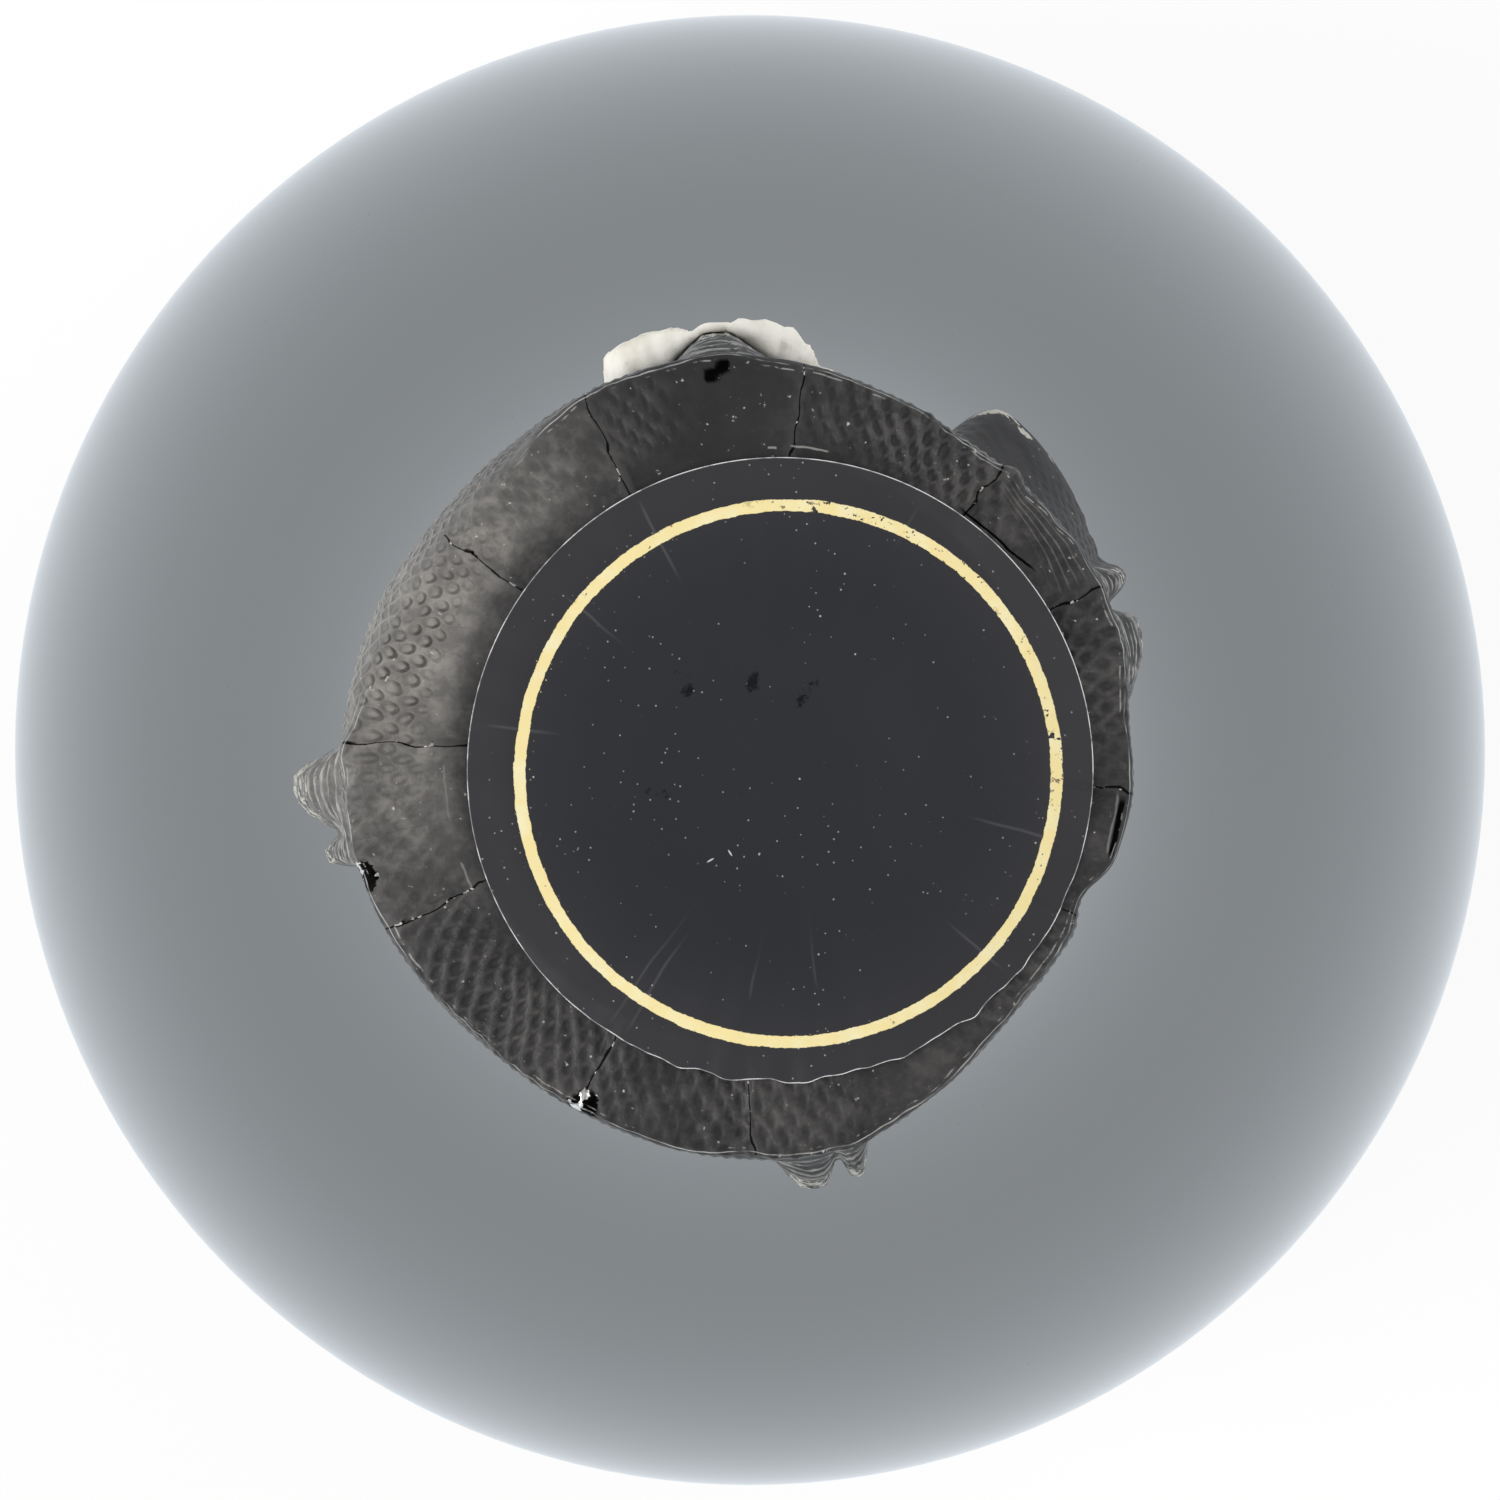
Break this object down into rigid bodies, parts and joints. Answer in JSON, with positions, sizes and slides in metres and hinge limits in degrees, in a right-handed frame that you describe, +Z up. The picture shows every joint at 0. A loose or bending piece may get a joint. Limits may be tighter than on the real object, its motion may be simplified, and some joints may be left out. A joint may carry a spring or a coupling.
{
  "type": "sparkling wine bottle",
  "caption": "Sealed sparkling wine bottle: dark glass, wine, mushroom cork, twisted wire muzzle with a folding loop, and a pleated embossed foil capsule that lifts off.",
  "frame": {"origin": "middle of the ring that the bottle stands on", "axes": "+Z up along the bottle's axis; +X is the picture's right and +Y its top, since it looks straight down"},
  "size_m": [0.088, 0.088, 0.323],
  "materials": {
    "dark_glass": "glossy, so dark that the wine hardly shows",
    "wine": "clear pale gold liquid",
    "natural_cork": "natural cork disc",
    "agglomerated_cork": "pressed cork granules",
    "tinned_steel": "stamped tinned sheet",
    "wire": "galvanised wire",
    "embossed_foil": "black foil laminate embossed with small dimples",
    "satin_foil": "satin black foil with a pale gold printed ring",
    "paper": "cream paper"
  },
  "bodies": {
    "bottle": {"glass_bottle": "dark_glass", "wine": "wine", "foil_skirt": "embossed_foil"},
    "cork": {"cork_body": "agglomerated_cork", "cork_inner_disc": "natural_cork", "cork_wine_end_disc": "natural_cork"},
    "muzzle": {"muzzle_cap": "tinned_steel", "muzzle_cage_wire": "wire", "muzzle_belt_wire": "wire"},
    "loop": {"muzzle_twist_loop": "wire"},
    "hood": {"foil_hood": "embossed_foil", "foil_top_disc": "satin_foil", "paper_strip": "paper"}
  },
  "joints": [
    {"name": "cork_pull", "type": "slide", "parent": "bottle", "child": "cork", "axis": [0, 0, 1], "range_m": [0, 0.05]},
    {"name": "muzzle_lift", "type": "slide", "parent": "cork", "child": "muzzle", "axis": [0, 0, 1], "range_m": [0, 0.07], "deforming": ["muzzle_cage_wire", "muzzle_belt_wire"]},
    {"name": "hood_lift", "type": "slide", "parent": "muzzle", "child": "hood", "axis": [0, 0, 1], "range_m": [0, 0.2]},
    {"name": "loop_fold", "type": "hinge", "parent": "muzzle", "child": "loop", "pos_m": [0.0114, 0.0114, 0.27582], "axis": [-0.7071, 0.7071, 0], "range_deg": [0, 90]}
  ],
  "couplings": [
    {"joint": "loop_fold", "follows": "hood_lift", "rad_per_m": 7.85}
  ]
}
